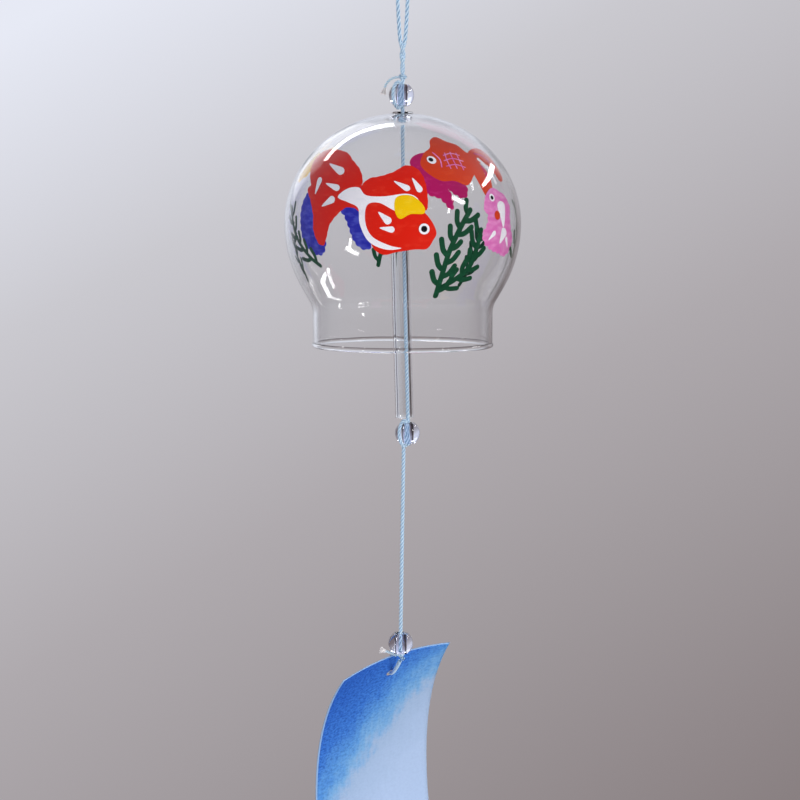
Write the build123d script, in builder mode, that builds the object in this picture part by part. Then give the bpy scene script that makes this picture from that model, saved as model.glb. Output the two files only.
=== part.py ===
from build123d import *
from math import acos, atan2, cos, hypot, pi, radians, sin, sqrt, tan
import os

os.makedirs("parts", exist_ok=True)

# A blown glass wind bell that hangs on one twisted cord. Millimetres, +Z up, seen from -Y.
# The origin is the inside top of the hanging loop, where a hook bears.

# Fits that several pieces share
play = 0.05  # a cord and the bead or cord that it lies against
joint_gap = 0.3  # two pieces that move on each other
overrun = 5.0  # how far a cut runs past the wall it cuts

# Cord
cord_diameter = 1.3
hook_diameter = 4.0
loop_drop = 48.0  # hook to the point where the two strands meet
loop_foot_spacing = 2.1
twist_diameter = 2.1  # the two strands twisted together
twist_length = 8.2
clapper_lean_angle = 1.6  # degrees off plumb, from the tube's top down
sail_cord_length = 63.8
sail_cord_angle = 0.9  # degrees
sail_step = 1.6  # the sail cord leaves its bead this far to the left
sail_cord_lift = 1.1  # and starts this far up, beside the turn of the strand round that bead

# Knots
top_knot_diameter = 3.0
top_knot_height = 2.0
stop_knot_diameter = 3.1
stop_knot_height = 1.5
sail_knot_diameter = 2.9
sail_tail_root_gap = 0.6  # from the sail knot's face to the centre of the cord's end
paper_loop_root_gap = 0.95
top_tail_reach = 5.2
top_tail_drop = 4.0
top_tail_bend_out_share = 0.7
top_tail_bend_down_share = 0.12
sail_tail_root_side = 1.8  # where its cut end leaves the sail knot
sail_tail_side = 3.2  # and where that comes out behind the bead
sail_tail_back = 3.4
sail_tail_down = 0.3
sail_tail_end_side = 6.1
sail_tail_end_back = 3.8
sail_tail_end_up = 0.5

# Beads
bead_diameter = 8.0
bead_mouth_radius = 0.6
wrap_bearing_angle = 235.0  # degrees; the strand round the outside lies to the left, in front

# Bell
crown_gap = 0.45  # between the strand under the top bead and the collar
bell_diameter = 75.0
bell_height = 73.8
dome_height_share = 0.928  # the dome's height over the bell's radius
dome_angle = 90.0  # degrees; the dome is a quarter of an ellipse, turned
belly_radius = 40.0
belly_angle = 30.0  # degrees that the belly's arc turns through
shoulder_radius = 8.0
neck_step = 8.9  # the neck stands this far inside the belly
bell_wall = 1.0
rim_diameter = 1.6  # the fire-polished bead of glass round the mouth
crown_hole_diameter = 2.2
collar_diameter = 6.6
collar_height = 0.4

# Clapper tube
tube_drop = 28.2  # from the flex point under the crown to the tube's top
tube_length = 64.5
tube_diameter = 5.8
tube_wall = 0.9
tube_side_step = 1.2  # the tube leans its wall on the cord
tube_lip_radius = 0.25

# Paper
paper_width = 42.0
paper_length = 150.0
paper_thickness = 0.3
paper_hole_diameter = 3.0
paper_hole_margin = 10.0
paper_hole_side = 1.3
paper_hole_left = 3.5  # from the sail knot to the hole
paper_hole_back = 12.3
paper_hole_drop = 9.0
paper_curl_length = 80.0
paper_lean_top_angle = 49.5  # degrees off plumb, at the top edge
paper_lean_end_angle = 5.5  # degrees, and at the end of the curl
paper_yaw_top_angle = 33.0  # degrees
paper_yaw_end_angle = 22.0  # degrees
paper_roll_top_angle = 10.5  # degrees
paper_roll_end_angle = 7.5  # degrees
paper_bow_top = 2.5  # how far the middle of the width stands back from its edges
paper_bow_end = 0.4
paper_bow_length = 30.0
paper_station_gap = 10.0
paper_loop_stand = 1.7  # the cord loop's turns stand this far off the sheet
paper_loop_over = 1.0
paper_loop_front_side = 0.2  # where the loop's front strand leaves the sail knot
paper_loop_front_out = 0.9
paper_loop_back_side = 0.9  # and where its back strand comes in
paper_loop_back_out = 0.9

# Derived sizes
cord_radius = cord_diameter / 2
hook_radius = hook_diameter / 2
bead_radius = bead_diameter / 2
leg_offset = cord_radius + play / 2
bead_bore_radius = leg_offset + cord_radius + play
wrap_radius = bead_radius + play + cord_radius
wrap_mouth_radius = bead_mouth_radius + play + cord_radius
mouth_centre_out = bead_bore_radius + bead_mouth_radius
mouth_centre_up = sqrt((bead_radius - bead_mouth_radius) ** 2 - mouth_centre_out**2)
wrap_top = mouth_centre_up + wrap_mouth_radius + cord_radius
bead_side = leg_offset * cos(radians(wrap_bearing_angle))
bead_front = leg_offset * sin(radians(wrap_bearing_angle))
bell_radius = bell_diameter / 2
dome_height = bell_radius * dome_height_share
neck_radius = bell_radius - neck_step
rim_radius = rim_diameter / 2
tube_radius = tube_diameter / 2
tube_bore_radius = tube_radius - tube_wall
twist_radius = twist_diameter / 2

# Heights, from the hook down
loop_foot_height = -loop_drop + twist_radius + joint_gap
twist_top_pivot = -loop_drop
twist_low_pivot = twist_top_pivot - twist_length
top_knot_top = twist_low_pivot - cord_radius - joint_gap
top_knot_height_at = top_knot_top - top_knot_height / 2
top_bead_height = top_knot_top - top_knot_height - play - wrap_top
collar_top = top_bead_height - wrap_top - crown_gap
crown_height = collar_top - collar_height
rim_height = crown_height - bell_height
stop_knot_at = crown_height - bell_wall - joint_gap - stop_knot_height / 2
clapper_pivot = stop_knot_at - stop_knot_height / 2 - joint_gap - cord_radius
tube_top = clapper_pivot - tube_drop
tube_low = tube_top - tube_length
lower_bead_height = tube_low - joint_gap / 2 - wrap_top
lean_side = tan(radians(clapper_lean_angle))
lower_cord_side = (tube_top - lower_bead_height) * lean_side
sail_pivot = lower_bead_height - wrap_top - joint_gap - cord_radius + sail_cord_lift
sail_pivot_side = lower_cord_side - sail_step
sail_bead_side = sail_pivot_side - sail_cord_length * sin(radians(sail_cord_angle))
sail_bead_height = sail_pivot - sail_cord_length * cos(radians(sail_cord_angle))
sail_knot_radius = sail_knot_diameter / 2
sail_knot_seat = sail_knot_radius + play + bead_mouth_radius
sail_knot_at = sail_bead_height - mouth_centre_up - sqrt(sail_knot_seat**2 - mouth_centre_out**2)


# A straight stretch of taut cord between two points, with square ends.
def taut_cord(start, end):
    run = Vector(*end) - Vector(*start)
    with BuildPart() as cord:
        with BuildSketch(Plane(origin=start, z_dir=run)):
            Circle(cord_radius)
        extrude(amount=run.length)
    return cord


# A cord through a list of points, whose arcs are as large as their runs allow.
def routed_cord(points, radii):
    with BuildPart() as cord:
        with BuildLine() as route:
            FilletPolyline(*points, radius=radii)
        with BuildSketch(Plane(origin=route.wires()[0] @ 0, z_dir=route.wires()[0] % 0)):
            Circle(cord_radius)
        sweep(path=route.wires()[0])
    print("cord arcs", [round(radius, 2) for radius in radii], "length", round(route.wires()[0].length, 1))
    return cord


# The radius of the arc at each corner of a route: 0.45 of the shorter run over tan(half turn).
def corner_radii(points, run_share=0.45):
    places = [Vector(*point) for point in points]
    radii = []
    for before, corner, after in zip(places, places[1:], places[2:]):
        run_in = corner - before
        run_out = after - corner
        half_turn = radians(run_in.get_angle(run_out)) / 2
        radii.append(run_share * min(run_in.length, run_out.length) / tan(half_turn))
    return radii


# A frame whose Z runs up along a bore that leans to the left by an angle.
def bore_frame(centre, lean=0):
    turn = radians(lean)
    return Plane(origin=centre, x_dir=(cos(turn), 0, sin(turn)), z_dir=(-sin(turn), 0, cos(turn)))


# A round bead, drilled for two passes of cord, with its mouths rounded over.
def drilled_bead(frame):
    with BuildPart() as bead:
        with Locations(frame):
            Sphere(bead_radius)
            Cylinder(bead_bore_radius, bead_diameter + overrun, mode=Mode.SUBTRACT)
        mouths = bead.edges().filter_by(GeomType.CIRCLE).filter_by(
            lambda edge: abs(edge.radius - bead_bore_radius) < play / 10
        )
        fillet(mouths, bead_mouth_radius)
    return bead


# The strand that leaves a bead at one mouth, goes round its outside and enters the other,
# and the leg that joins the two ends inside the bore.
def bead_wrap(frame):
    bearing = radians(wrap_bearing_angle)
    outward = frame.x_dir * cos(bearing) + frame.y_dir * sin(bearing)
    sideways = frame.x_dir * sin(bearing) - frame.y_dir * cos(bearing)
    wrap_plane = Plane(origin=frame.origin, x_dir=outward, z_dir=sideways)
    middle = Plane(origin=frame.origin, z_dir=frame.z_dir)
    meet = atan2(mouth_centre_up, mouth_centre_out)
    meet_point = (wrap_radius * cos(meet), wrap_radius * sin(meet))
    mouth_middle = (pi + meet) / 2
    mouth_point = (
        mouth_centre_out + wrap_mouth_radius * cos(mouth_middle),
        mouth_centre_up + wrap_mouth_radius * sin(mouth_middle),
    )
    outside_point = (wrap_radius * cos(meet / 2), wrap_radius * sin(meet / 2))
    with BuildPart() as wrap:
        with BuildLine(wrap_plane) as route:
            Line((leg_offset, 0), (leg_offset, mouth_centre_up))
            ThreePointArc((leg_offset, mouth_centre_up), mouth_point, meet_point)
            ThreePointArc(meet_point, outside_point, (wrap_radius, 0))
        with BuildSketch(Plane(origin=route.wires()[0] @ 0, z_dir=route.wires()[0] % 0)):
            Circle(cord_radius)
        sweep(path=route.wires()[0])
        mirror(about=middle)
    print("wrap radii", round(wrap_mouth_radius, 2), round(wrap_radius, 2))
    return wrap


# A knot drawn tight: two rounded turns of cord, one on the other, closed to one lump.
def tight_knot(centre, diameter, height):
    turn_radius = height / 4
    turn_out = diameter / 2 - turn_radius
    with BuildPart() as knot:
        with BuildSketch(Plane(origin=centre, x_dir=(1, 0, 0), z_dir=(0, -1, 0))):
            Rectangle(turn_out, height, align=(Align.MIN, Align.CENTER))
            with Locations((turn_out, turn_radius), (turn_out, -turn_radius)):
                Circle(turn_radius)
        revolve(axis=Axis(centre, (0, 0, 1)))
    return knot


# Hanging loop: one cord up, over the hook and down again
loop_arc_radius = hook_radius + cord_radius
foot_side = loop_foot_spacing / 2
foot_down = -loop_foot_height - hook_radius
foot_reach = hypot(foot_side, foot_down)
touch = acos(loop_arc_radius / foot_reach) - atan2(foot_down, foot_side)
touch_side = loop_arc_radius * cos(touch)
touch_height = loop_arc_radius * sin(touch) - hook_radius
with BuildPart() as hanging_loop:
    with BuildLine(Plane.XZ) as loop_route:
        Line((-foot_side, loop_foot_height), (-touch_side, touch_height))
        ThreePointArc(
            (-touch_side, touch_height), (0, loop_arc_radius - hook_radius), (touch_side, touch_height)
        )
        Line((touch_side, touch_height), (foot_side, loop_foot_height))
    loop_start = loop_route.wires()[0] @ 0
    with BuildSketch(Plane(origin=loop_start, z_dir=loop_route.wires()[0] % 0)):
        Circle(cord_radius)
    sweep(path=loop_route.wires()[0])
print("loop arc", round(loop_arc_radius, 2), "length", round(loop_route.wires()[0].length, 1))

# Twisted strands: the loop's two strands laid together, rounded at both flex points
with BuildPart() as twisted_strands:
    with BuildSketch(Plane.XY.offset(twist_low_pivot)):
        Circle(cord_radius)
    with BuildSketch(Plane.XY.offset(twist_top_pivot)):
        Circle(twist_radius)
    loft()
    with Locations((0, 0, twist_top_pivot)):
        Sphere(twist_radius)
    with Locations((0, 0, twist_low_pivot)):
        Sphere(cord_radius)

# Top knot and its cut end
top_knot = tight_knot((0, 0, top_knot_height_at), top_knot_diameter, top_knot_height)
tail_start = (-top_knot_diameter / 2 - play, 0, top_knot_height_at)
top_tail_bend_height = top_knot_height_at - top_tail_drop * top_tail_bend_down_share
top_tail_points = [
    tail_start,
    (-top_tail_reach * top_tail_bend_out_share, 0, top_tail_bend_height),
    (-top_tail_reach, 0, top_knot_height_at - top_tail_drop),
]
top_knot_tail = routed_cord(top_tail_points, corner_radii(top_tail_points))

# Top bead, the strand round it, and the cord that goes down through both and the crown
top_bead_frame = bore_frame((bead_side, bead_front, top_bead_height))
top_bead = drilled_bead(top_bead_frame)
top_bead_wrap = bead_wrap(top_bead_frame)
neck_cord_low = stop_knot_at + stop_knot_height / 2 + joint_gap
neck_cord = taut_cord((0, 0, top_knot_top - top_knot_height), (0, 0, neck_cord_low))

# Stop knot: the turns under the crown that the glass rests on
stop_knot = tight_knot((0, 0, stop_knot_at), stop_knot_diameter, stop_knot_height)


# Half of the bell's outline, a given depth inside its outer face, from the crown to the rim.
def bell_outline(depth):
    side = bell_radius - depth
    dome_rise = dome_height - depth
    equator = crown_height - dome_height
    belly = belly_radius - depth
    shoulder = shoulder_radius + depth
    turn = radians(belly_angle)
    belly_out = side - belly * (1 - cos(turn))
    belly_low = equator - belly * sin(turn)
    neck_side = neck_radius - depth
    cone_out = neck_side + shoulder * (1 - cos(turn))
    cone_low = belly_low - (belly_out - cone_out) / tan(turn)
    neck_top = cone_low - shoulder * sin(turn)
    rim_line = rim_height + rim_radius
    half_turn = turn / 2
    with BuildLine() as half:
        EllipticalCenterArc((0, equator), side, dome_rise, start_angle=0, arc_size=dome_angle)
        ThreePointArc(
            (side, equator),
            (side - belly * (1 - cos(half_turn)), equator - belly * sin(half_turn)),
            (belly_out, belly_low),
        )
        Line((belly_out, belly_low), (cone_out, cone_low))
        ThreePointArc(
            (cone_out, cone_low),
            (neck_side + shoulder * (1 - cos(half_turn)), neck_top + shoulder * sin(half_turn)),
            (neck_side, neck_top),
        )
        Polyline((neck_side, neck_top), (neck_side, rim_line), (0, rim_line), (0, equator + dome_rise))
    return half.edges()


# Bell: one blown shell, a collar round the hole in its crown and a fire-polished rim
with BuildPart() as bell_glass:
    with BuildSketch(Plane.XZ) as bell_section:
        make_face(bell_outline(0))
        with Locations((collar_diameter / 4, crown_height)):
            Rectangle(collar_diameter / 2, 2 * collar_height)
        make_face(bell_outline(bell_wall), mode=Mode.SUBTRACT)
        with Locations((neck_radius - bell_wall / 2, rim_height + rim_radius)):
            Circle(rim_radius)
    revolve(axis=Axis.Z)
    with Locations((0, 0, crown_height)):
        Cylinder(crown_hole_diameter / 2, overrun, mode=Mode.SUBTRACT)
    collar_top_face = bell_glass.faces().sort_by(Axis.Z)[-1]
    fillet(collar_top_face.outer_wire().edges(), collar_height / 2)

# Clapper cord: down from its flex point, plumb to the tube and then along the tube's bore
clapper_points = [
    (0, 0, clapper_pivot),
    (0, 0, tube_top),
    (lower_cord_side, 0, lower_bead_height - mouth_centre_up - wrap_mouth_radius + play),
]
clapper_cord = routed_cord(clapper_points, corner_radii(clapper_points))
with clapper_cord:
    with Locations((0, 0, clapper_pivot)):
        Sphere(cord_radius)

# Clapper tube: the glass tube that strikes the rim, loose on the cord
tube_frame = bore_frame((-tube_side_step, 0, tube_top), clapper_lean_angle)
with BuildPart() as clapper_tube:
    with BuildSketch(tube_frame):
        Circle(tube_radius)
        Circle(tube_bore_radius, mode=Mode.SUBTRACT)
    extrude(amount=-tube_length)
    fillet(clapper_tube.edges().filter_by(GeomType.CIRCLE), tube_lip_radius)

# Lower bead: carries the tube and starts the sail cord
lower_cord_frame = bore_frame((lower_cord_side, 0, lower_bead_height), clapper_lean_angle)
lower_bead_centre = lower_cord_frame.from_local_coords((bead_side, bead_front, 0))
lower_bead_frame = bore_frame(tuple(lower_bead_centre), clapper_lean_angle)
lower_bead = drilled_bead(lower_bead_frame)
lower_bead_wrap = bead_wrap(lower_bead_frame)

# Sail cord: from its flex point under the lower bead into the bore of the sail bead
sail_direction = Vector(-sin(radians(sail_cord_angle)), 0, -cos(radians(sail_cord_angle)))
sail_pivot_point = Vector(sail_pivot_side, 0, sail_pivot)
sail_bead_centre = Vector(sail_bead_side, 0, sail_bead_height)
sail_cord_reach = sail_bead_height - sail_knot_at - sail_knot_radius - joint_gap
sail_cord_end = sail_bead_centre + sail_direction * sail_cord_reach
sail_cord = taut_cord(tuple(sail_pivot_point), tuple(sail_cord_end))
with sail_cord:
    with Locations(sail_pivot_point):
        Sphere(cord_radius)

# Sail bead, with the knot under it that holds the paper's loop, and its cut end
sail_bead = drilled_bead(bore_frame(tuple(sail_bead_centre)))
sail_knot_centre = Vector(sail_bead_side, 0, sail_knot_at)
with BuildPart() as sail_knot:
    with Locations(sail_knot_centre):
        Sphere(sail_knot_radius)


# The centre of a cord's end that meets the sail knot from below, some way to the side and behind.
def knot_root(side, out, gap):
    down = sqrt((sail_knot_radius + gap) ** 2 - side**2 - out**2)
    return sail_knot_centre + Vector(side, out, -down)


tail_root = knot_root(-sail_tail_root_side, 0, sail_tail_root_gap)
tail_bend = sail_knot_centre + Vector(-sail_tail_side, sail_tail_back, -sail_tail_down)
tail_end = sail_knot_centre + Vector(-sail_tail_end_side, sail_tail_end_back, sail_tail_end_up)
sail_tail_points = [tuple(place) for place in (tail_root, tail_bend, tail_end)]
sail_knot_tail = routed_cord(sail_tail_points, corner_radii(sail_tail_points))


# The sheet's frame some way down from its top edge: X across it to the right, Z up along it
# and Y out of its back, all turned by the lean, yaw and roll it has there.
def paper_frame(down, origin=(0, 0, 0)):
    share = min(down / paper_curl_length, 1)
    lean = paper_lean_top_angle + (paper_lean_end_angle - paper_lean_top_angle) * share
    yaw = paper_yaw_top_angle + (paper_yaw_end_angle - paper_yaw_top_angle) * share
    roll = paper_roll_top_angle + (paper_roll_end_angle - paper_roll_top_angle) * share
    turned = Location(origin) * Rotation(0, 0, yaw) * Rotation(0, -roll, 0) * Rotation(lean, 0, 0)
    return Plane(turned)


def paper_bow(down):
    share = max(0, 1 - down / paper_bow_length)
    return paper_bow_end + (paper_bow_top - paper_bow_end) * share**2


# How far the sheet's middle line has gone from the top edge, in small steps down it.
def paper_middle(down, steps=40):
    place = Vector(0, 0, 0)
    step = down / steps
    for number in range(steps):
        place = place - paper_frame((number + 0.5) * step).z_dir * step
    return place


# Paper sail: a strip of washi that curls back and away in the wind
paper_hole = sail_knot_centre + Vector(-paper_hole_left, paper_hole_back, -paper_hole_drop)
hole_frame = paper_frame(paper_hole_margin, paper_hole)
hole_share = 2 * paper_hole_side / paper_width
hole_bow = paper_bow(paper_hole_margin) * (1 - hole_share**2)
hole_from_middle = hole_frame.x_dir * paper_hole_side + hole_frame.y_dir * hole_bow
paper_top = paper_hole - hole_from_middle - paper_middle(paper_hole_margin)
station_count = round(paper_length / paper_station_gap)
half_width = paper_width / 2
with BuildPart() as tanzaku:
    for station in range(station_count + 1):
        down = paper_length * station / station_count
        bow = paper_bow(down)
        section_plane = paper_frame(down, paper_top + paper_middle(down))
        with BuildSketch(section_plane):
            with BuildLine():
                ThreePointArc((-half_width, 0), (0, bow), (half_width, 0))
                Line((half_width, 0), (half_width, paper_thickness))
                ThreePointArc(
                    (half_width, paper_thickness),
                    (0, bow + paper_thickness),
                    (-half_width, paper_thickness),
                )
                Line((-half_width, paper_thickness), (-half_width, 0))
            make_face()
    loft()
    with Locations(Plane(origin=paper_hole, x_dir=hole_frame.x_dir, z_dir=hole_frame.y_dir)):
        Cylinder(paper_hole_diameter / 2, overrun, mode=Mode.SUBTRACT)

# Paper loop: the cord from the knot through the paper's hole, back over its top edge
edge_frame = paper_frame(0)
edge_bow = paper_bow(0) * (1 - hole_share**2)
paper_edge = paper_top + edge_frame.x_dir * paper_hole_side + edge_frame.y_dir * edge_bow
loop_back_stand = paper_loop_stand + paper_thickness
loop_front = paper_hole - hole_frame.y_dir * paper_loop_stand
loop_back = paper_hole + hole_frame.y_dir * loop_back_stand
loop_over = paper_edge + edge_frame.z_dir * paper_loop_over + edge_frame.y_dir * loop_back_stand
front_root = knot_root(-paper_loop_front_side, -paper_loop_front_out, paper_loop_root_gap)
back_root = knot_root(paper_loop_back_side, paper_loop_back_out, paper_loop_root_gap)
paper_loop_points = [tuple(place) for place in (front_root, loop_front, loop_back, loop_over, back_root)]
paper_loop = routed_cord(paper_loop_points, corner_radii(paper_loop_points))

pieces = {
    "hanging_loop": hanging_loop,
    "twisted_strands": twisted_strands,
    "top_knot": top_knot,
    "top_knot_tail": top_knot_tail,
    "top_bead": top_bead,
    "top_bead_wrap": top_bead_wrap,
    "neck_cord": neck_cord,
    "stop_knot": stop_knot,
    "bell_glass": bell_glass,
    "clapper_cord": clapper_cord,
    "clapper_tube": clapper_tube,
    "lower_bead": lower_bead,
    "lower_bead_wrap": lower_bead_wrap,
    "sail_cord": sail_cord,
    "sail_bead": sail_bead,
    "sail_knot": sail_knot,
    "sail_knot_tail": sail_knot_tail,
    "paper_loop": paper_loop,
    "tanzaku": tanzaku,
}
for name, piece in pieces.items():
    piece.part.label = name
    export_step(piece.part, f"parts/{name}.step")

print("top bead", round(top_bead_height, 2), "collar", round(collar_top, 2), "rim", round(rim_height, 2))
print("twist flex points", round(twist_top_pivot, 2), round(twist_low_pivot, 2))
print("clapper flex point", round(clapper_pivot, 2), "tube", round(tube_top, 2), round(tube_low, 2))
print("lower bead", lower_bead_centre, "sail flex point", sail_pivot_point)
print("sail bead", sail_bead_centre, "sail knot", sail_knot_centre, "paper hole", paper_hole)
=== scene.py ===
import math
import random
from functools import partial
import bpy
from mathutils import Matrix, Vector
from mathutils.geometry import delaunay_2d_cdt


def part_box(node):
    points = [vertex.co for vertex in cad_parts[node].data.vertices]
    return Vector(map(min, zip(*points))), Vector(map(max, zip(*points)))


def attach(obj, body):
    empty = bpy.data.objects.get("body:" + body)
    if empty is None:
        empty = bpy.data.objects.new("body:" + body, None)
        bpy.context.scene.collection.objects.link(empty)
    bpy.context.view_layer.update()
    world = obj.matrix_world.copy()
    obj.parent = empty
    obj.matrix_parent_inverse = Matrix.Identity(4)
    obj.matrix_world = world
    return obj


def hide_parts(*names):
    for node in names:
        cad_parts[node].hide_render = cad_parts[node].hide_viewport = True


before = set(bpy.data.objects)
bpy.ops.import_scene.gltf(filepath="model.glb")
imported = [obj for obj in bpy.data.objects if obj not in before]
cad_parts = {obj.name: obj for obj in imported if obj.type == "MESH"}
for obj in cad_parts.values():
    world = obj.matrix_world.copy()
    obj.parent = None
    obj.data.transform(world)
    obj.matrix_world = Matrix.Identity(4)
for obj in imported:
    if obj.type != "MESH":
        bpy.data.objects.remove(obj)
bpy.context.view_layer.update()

mm = 0.001
print("frame loaded")


# small helpers

def linearColour(hexText):
    shades = [int(hexText[i:i + 2], 16) / 255 for i in (1, 3, 5)]
    return [s / 12.92 if s <= 0.04045 else ((s + 0.055) / 1.055) ** 2.4 for s in shades] + [1.0]


# Fills sockets, given by name or number, with a value, a link or a node's first output.
def plug(node, sockets):
    for key, value in sockets.items():
        named = [s for s in node.inputs if s.name == key and s.enabled]
        socket = node.inputs[key] if isinstance(key, int) else named[0]
        if isinstance(value, bpy.types.Node):
            value = next(s for s in value.outputs if s.enabled)
        if isinstance(value, bpy.types.NodeSocket):
            node.id_data.links.new(value, socket)
        else:
            socket.default_value = value


def addNode(tree, kind, sockets=None, stops=None, **settings):
    node = tree.nodes.new(kind)
    for name, value in settings.items():
        setattr(node, name, value)
    plug(node, sockets or {})
    if stops:
        marks = node.color_ramp.elements
        while len(marks) < len(stops):
            marks.new(0.5)
        for mark, (place, hexText) in zip(marks, stops):
            mark.position = place
            mark.color = linearColour(hexText)
    return node


# A material, what adds nodes to it, and its shader.
def newMaterial(name, **values):
    material = bpy.data.materials.new(name)
    material.use_nodes = True
    shader = material.node_tree.nodes["Principled BSDF"]
    for socket, value in values.items():
        shader.inputs[socket.replace("_", " ")].default_value = value
    return material, partial(addNode, material.node_tree), shader


# Colours a surface and gives it the relief of a noise.
def dress(add, shader, colour, noise, strength, deep):
    bump = add("ShaderNodeBump", {"Height": noise, "Strength": strength, "Distance": deep})
    plug(shader, {"Base Color": colour, "Normal": bump})


def addObject(name, data):
    piece = bpy.data.objects.new(name, data)
    bpy.context.scene.collection.objects.link(piece)
    return piece


def addMesh(name, points, faces, material):
    mesh = bpy.data.meshes.new(name)
    mesh.from_pydata([tuple(p) for p in points], [], faces)
    mesh.validate()
    mesh.update()
    mesh.materials.append(material)
    mesh.polygons.foreach_set("use_smooth", [True] * len(mesh.polygons))
    return addObject(name, mesh)


# Puts what a piece's modifiers make into its mesh, and takes the modifiers off.
def bakeModifiers(piece):
    shown = piece.evaluated_get(bpy.context.evaluated_depsgraph_get())
    piece.data = bpy.data.meshes.new_from_object(shown)
    piece.modifiers.clear()
    return piece


def middleOf(node):
    low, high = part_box(node)
    return (Vector(low) + Vector(high)) / 2


def carry(piece, body, slotName, *nodes):
    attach(piece, body)
    if nodes:
        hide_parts(*nodes)
    return piece


def polar(radius, angle, height):
    return Vector((radius * math.cos(angle), radius * math.sin(angle), height))


def turned(ring, segments):
    return [polar(r, 2 * math.pi * turn / segments, z) for turn in range(segments) for r, z in ring]


# A closed ring of (radius, height) points turned about an axis, so it has no poles.
def lathe(name, ring, segments, material, place=Matrix()):
    count = len(ring)
    points = [place @ p for p in turned(ring, segments)]
    faces = []
    for turn in range(segments):
        here, there = turn * count, (turn + 1) % segments * count
        for i in range(count):
            j = (i + 1) % count
            faces.append((here + i, here + j, there + j, there + i))
    return addMesh(name, points, faces, material)


def arcPoints(centre, radius, start, end, steps, high=None):
    angles = [math.radians(start + (end - start) * i / steps) for i in range(steps + 1)]
    return [(centre[0] + radius * math.cos(a), centre[1] + (high or radius) * math.sin(a))
            for a in angles]


# camera, backdrop and lights

view = {
    "place": (-0.83 * mm, -650 * mm, -97.7 * mm),
    "pitch": 5.5,            # degrees below the horizon
    "lens": 92,
    "sensor": 36,
    "bellMiddle": (0, 0, -105 * mm),
}
camera = addObject("camera", bpy.data.cameras.new("camera"))
camera.data.lens = view["lens"]
camera.data.sensor_width = view["sensor"]
camera.location = view["place"]
camera.rotation_euler = (math.radians(90 - view["pitch"]), 0, 0)
bpy.context.scene.camera = camera

studio = {
    "radius": 3.0,           # metres, a round pale room
    "floor": -1.25,
    "curve": 0.7,
    "wallHigh": 2.2,
    "slope": 0.6,            # where the wall leans in to the ceiling
    "ceilingRise": 0.2,
    "middle": 0.02,          # the rest of floor and ceiling is one flat face
    "segments": 72,
    "across": -0.24,         # how the wall's shade runs along X and up
    "up": 0.45,
    "level": 0.70,
    # painted light and shade on the wall: darker at the lower right, lighter at the upper left
    "wall": [(0.0, "#83797A"), (0.45, "#AFAAAE"), (0.72, "#CAC9CF"), (0.95, "#E7EAF5")],
    # painted reflection: how dark the wall shows in glass, from behind the camera round to the
    # backdrop
    "mirrored": [(0.0, "#343337"), (0.45, "#6E6C72"), (0.84, "#7C7A80"), (0.91, "#FFFFFF")],
}


def makeStudio():
    radius, curve, floor = studio["radius"], studio["curve"], studio["floor"]
    eaves, slope, middle = studio["wallHigh"], studio["slope"], studio["middle"]
    ring = [(middle, floor), (radius - curve, floor)]
    ring += arcPoints((radius - curve, floor + curve), curve, -90, 0, 12)
    ring += [(radius, eaves), (radius - slope, eaves + slope),
             (middle, eaves + slope + studio["ceilingRise"])]
    count, segments = len(ring), studio["segments"]
    faces = []
    for turn in range(segments):
        here, there = turn * count, (turn + 1) % segments * count
        faces += [(here + i, there + i, there + i + 1, here + i + 1) for i in range(count - 1)]
    faces += [range(0, count * segments, count), range(count * segments - 1, 0, -count)]
    material, add, shader = newMaterial("paleStudioWall", Roughness=0.9)
    place = add("ShaderNodeTexCoord").outputs["Object"]
    parts = add("ShaderNodeSeparateXYZ", {0: place}).outputs
    high = add("ShaderNodeMath", {0: parts["Z"], 1: studio["up"], 2: studio["level"]},
               operation="MULTIPLY_ADD")
    level = add("ShaderNodeMath", {0: parts["X"], 1: studio["across"], 2: high},
                operation="MULTIPLY_ADD")
    # painted light and shade: the wall's emitted colour runs lighter towards the upper left and
    # darker towards the lower right
    wall = add("ShaderNodeValToRGB", {"Fac": level}, stops=studio["wall"])
    depth = add("ShaderNodeMapRange",
                {"Value": parts["Y"], "From Min": -radius, "From Max": radius})
    # painted reflection: rays coming off glass see the wall darkened towards the front and sides,
    # and white at the back
    around = add("ShaderNodeValToRGB", {"Fac": depth}, stops=studio["mirrored"])
    rays = add("ShaderNodeLightPath").outputs
    # a ray that glass only lets through counts as glossy too, but has no glossy depth
    mirrors = add("ShaderNodeMath", {0: rays["Glossy Depth"], 1: 0.5}, operation="GREATER_THAN")
    shaded = add("ShaderNodeMix", {0: mirrors, 6: wall, 7: around}, data_type="RGBA",
                 blend_type="MULTIPLY")
    plug(shader, {"Base Color": wall})
    glow = add("ShaderNodeEmission", {"Color": shaded})
    clear = add("ShaderNodeMath", {0: rays["Is Camera Ray"], 1: rays["Is Transmission Ray"]},
                operation="MAXIMUM")
    seen = add("ShaderNodeMath", {0: clear, 1: rays["Is Glossy Ray"]}, operation="MAXIMUM")
    mix = add("ShaderNodeMixShader", {0: seen, 1: shader, 2: glow})
    plug(material.node_tree.nodes["Material Output"], {"Surface": mix})
    room = addMesh("studioRoom", turned(ring, segments), faces, material)
    room.visible_shadow = False


# A lamp that faces the bell, in metres and watts. One that glass doesn't mirror has glossy off.
def addLight(name, place, size, power, colour="#FFFFFF", glossy=True, along=(1, 0, 0)):
    lamp = bpy.data.lights.new(name, "AREA")
    lamp.shape = "RECTANGLE"
    lamp.size, lamp.size_y = size
    lamp.energy = power
    lamp.color = linearColour(colour)[:3]
    holder = addObject(name, lamp)
    back = (Vector(place) - Vector(view["bellMiddle"])).normalized()
    across = Vector(along)
    across = (across - back * across.dot(back)).normalized()
    turn = Matrix((across, back.cross(across), back)).transposed()
    holder.matrix_world = Matrix.Translation(place) @ turn.to_4x4()
    holder.visible_camera = False
    holder.visible_glossy = glossy
    holder.visible_transmission = glossy


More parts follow.
